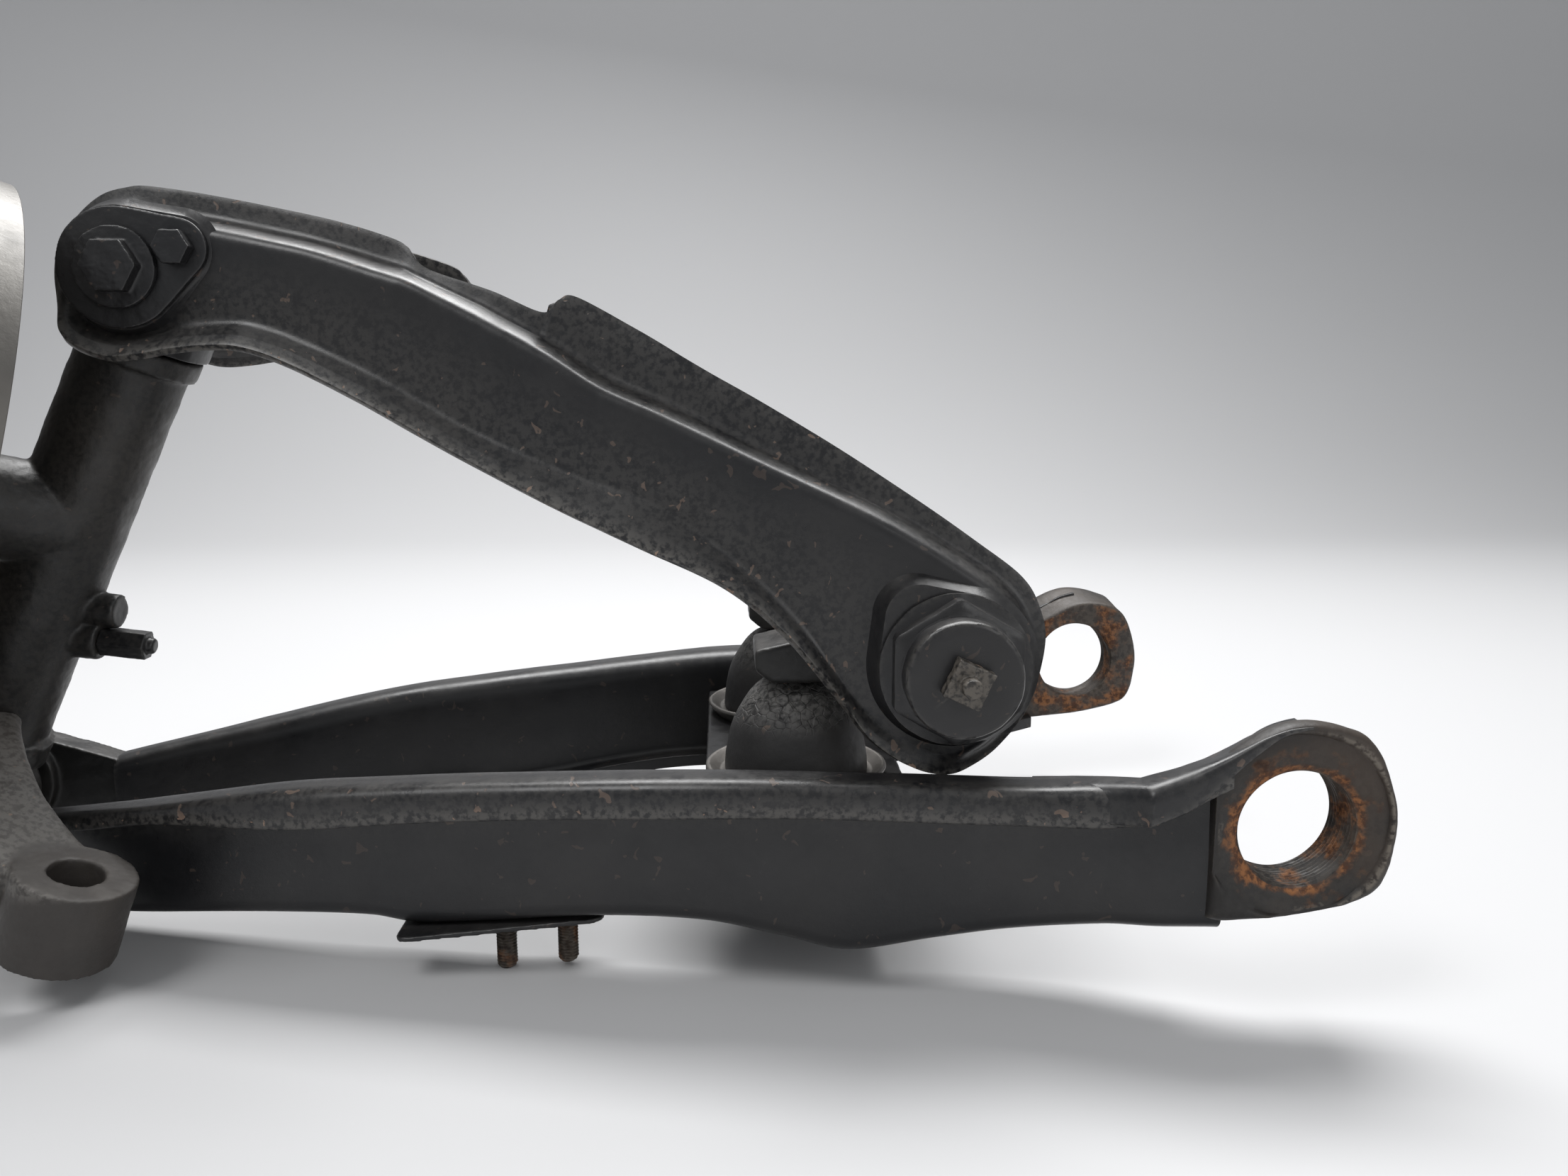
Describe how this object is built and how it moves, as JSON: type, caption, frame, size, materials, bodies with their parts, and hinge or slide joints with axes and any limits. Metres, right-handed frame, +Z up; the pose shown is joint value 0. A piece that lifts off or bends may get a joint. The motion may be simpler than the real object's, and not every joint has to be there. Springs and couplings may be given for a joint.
{
  "type": "front suspension control arm assembly",
  "caption": "Forked lower arm and pressed upper arm joined by a king-pin post with steering knuckle, hub and brake disc; rubber bump stops and threaded pivots.",
  "frame": {"origin": "middle of the lower arm's inner pivot axis, halfway between the two eyes", "axes": "+X inboard, away from the wheel; +Y along the pivot axes; +Z up"},
  "size_m": [0.6266, 0.284, 0.3025],
  "materials": {
    "black_paint": "worn satin black paint with dust on the bends and rust at the edges",
    "rusty_forging": "forged steel with thick brown and orange rust",
    "bare_forging": "matte grey-brown bare forging",
    "worn_forging": "dark oily forging with brown wear",
    "rubber": "matte aged rubber with fine cracks",
    "disc_iron": "turned grey iron with a rusty rim",
    "hub_iron": "machined cast iron, darkened",
    "plain_steel": "dull plain steel",
    "bronze": "bearing bronze"
  },
  "bodies": {
    "lower_arm": {"front_leg_cap": "black_paint", "rear_leg_cap": "black_paint", "front_leg_web": "black_paint", "rear_leg_web": "black_paint", "front_pivot_eye": "rusty_forging", "rear_pivot_eye": "rusty_forging", "front_outer_eye": "worn_forging", "rear_outer_eye": "worn_forging", "front_lower_outer_bush": "black_paint", "rear_lower_outer_bush": "black_paint", "lower_grease_nipples": "plain_steel", "lower_outer_seals": "rubber", "cross_plate": "black_paint", "front_bump_stop_cup": "plain_steel", "rear_bump_stop_cup": "plain_steel", "front_bump_stop": "rubber", "rear_bump_stop": "rubber", "bump_stop_bolts": "plain_steel", "stud_plate": "black_paint", "bracket_studs": "rusty_forging"},
    "carrier": {"carrier_lower_head": "worn_forging", "lower_outer_pin": "plain_steel", "king_pin": "plain_steel", "thrust_washer": "plain_steel", "carrier_upper_head": "worn_forging", "dust_cap": "black_paint", "upper_outer_pin": "plain_steel"},
    "knuckle": {"steering_knuckle": "black_paint", "king_pin_bushes": "bronze", "stop_screw": "black_paint", "steering_arm": "bare_forging", "spindle_nut": "plain_steel"},
    "hub": {"brake_disc": "disc_iron", "wheel_hub": "hub_iron", "disc_bolts": "plain_steel", "inner_wheel_bearing": "plain_steel", "outer_wheel_bearing": "plain_steel", "grease_cap": "plain_steel"},
    "upper_arm": {"front_upper_arm_half": "black_paint", "rear_upper_arm_half": "black_paint", "front_upper_outer_bush": "black_paint", "rear_upper_outer_bush": "black_paint", "front_lock_plate": "black_paint", "rear_lock_plate": "black_paint", "lock_bolts": "black_paint", "upper_outer_seals": "rubber", "front_upper_inner_bush": "black_paint", "rear_upper_inner_bush": "black_paint", "front_grease_plug": "worn_forging", "rear_grease_plug": "worn_forging", "upper_inner_seals": "rubber"},
    "upper_shaft": {"upper_pivot_shaft": "worn_forging"}
  },
  "joints": [
    {"name": "carrier_swing", "type": "hinge", "parent": "lower_arm", "child": "carrier", "pos_m": [-0.529, 0, -0.03], "axis": [0, -1, 0], "range_deg": [0, 30]},
    {"name": "steering", "type": "hinge", "parent": "carrier", "child": "knuckle", "pos_m": [-0.529, 0, -0.03], "axis": [0.429, 0, 0.9033], "range_deg": [-65, 0]},
    {"name": "wheel_spin", "type": "hinge", "parent": "knuckle", "child": "hub", "pos_m": [-0.51278, -0.0364, 0.11474], "axis": [-0.7492, -0.6067, 0.2656], "continuous": true},
    {"name": "upper_arm_swing", "type": "hinge", "parent": "carrier", "child": "upper_arm", "pos_m": [-0.4175, 0, 0.1925], "axis": [0, -1, 0], "range_deg": [0, 40]},
    {"name": "shaft_swivel", "type": "hinge", "parent": "upper_arm", "child": "upper_shaft", "pos_m": [-0.111, 0, 0.048], "axis": [0, 1, 0], "range_deg": [0, 40]}
  ]
}
